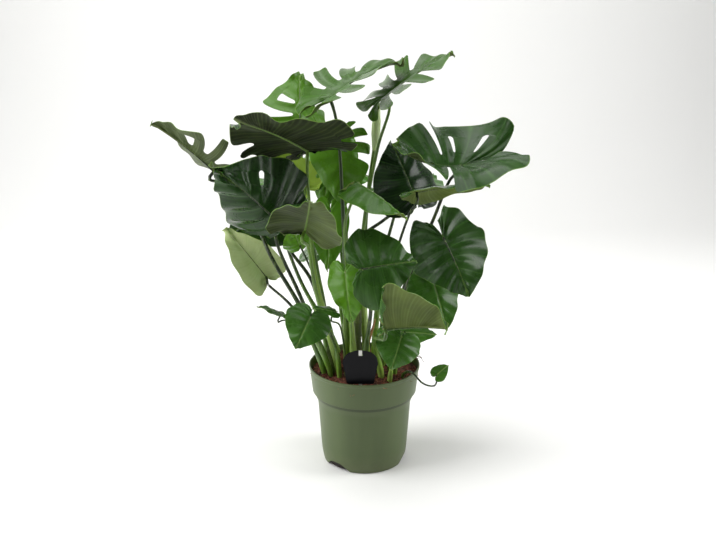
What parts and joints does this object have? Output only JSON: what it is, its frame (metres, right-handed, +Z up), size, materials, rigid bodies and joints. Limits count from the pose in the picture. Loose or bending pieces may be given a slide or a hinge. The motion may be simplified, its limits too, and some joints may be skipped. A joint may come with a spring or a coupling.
{
  "type": "potted monstera plant",
  "caption": "Split-leaved monstera on long stalks, standing in bark soil in a round tapered plastic nursery pot with a wide rim band and a blank label.",
  "frame": {"origin": "middle of the pot's flat underside", "axes": "+Z up along the pot's axis, -Y towards the front of the plant, where the label stands, +X to the right as seen from the front"},
  "size_m": [0.8395, 0.6354, 0.9954],
  "materials": {
    "leaf": "waxy living leaf, deep green above and paler and matt below, with light veins",
    "new_leaf": "satin, pale green unopened leaf",
    "stem": "smooth olive green stem with rings where old leaves have dropped",
    "soil": "damp red-brown bark chips and coir",
    "pot": "moulded satin plastic, moss green",
    "label": "satin printed card, blank",
    "stake": "white plastic strip"
  },
  "bodies": {
    "root": {"leaf_back_centre": "leaf", "leaf_back_far_right": "leaf", "leaf_back_left": "leaf", "leaf_back_low_left": "leaf", "leaf_back_low_right": "leaf", "leaf_back_right": "leaf", "leaf_back_yellow": "leaf", "leaf_centre_back": "leaf", "leaf_centre_left": "leaf", "leaf_centre_right": "leaf", "leaf_dark_back_right": "leaf", "leaf_far_left": "leaf", "leaf_front_centre": "leaf", "leaf_front_edge": "leaf", "leaf_front_heart": "leaf", "leaf_front_low": "leaf", "leaf_front_olive": "leaf", "leaf_glimpse_centre": "leaf", "leaf_glimpse_left": "leaf", "leaf_hanging": "leaf", "leaf_left_behind": "leaf", "leaf_left_dark": "leaf", "leaf_left_glossy": "leaf", "leaf_left_pale": "leaf", "leaf_new_rolled": "new_leaf", "leaf_olive": "leaf", "leaf_right_heart": "leaf", "leaf_right_low": "leaf", "leaf_right_narrow": "leaf", "leaf_right_split": "leaf", "leaf_small_left": "leaf", "leaf_small_right": "leaf", "leaf_tiny": "leaf", "leaf_top_back": "leaf", "leaf_top_centre": "leaf", "leaf_top_right": "leaf", "pot": "pot", "soil": "soil", "stem_left": "stem", "stem_main": "stem", "stem_right": "stem", "tag": "label", "tag_stake": "stake"}
  },
  "joints": []
}
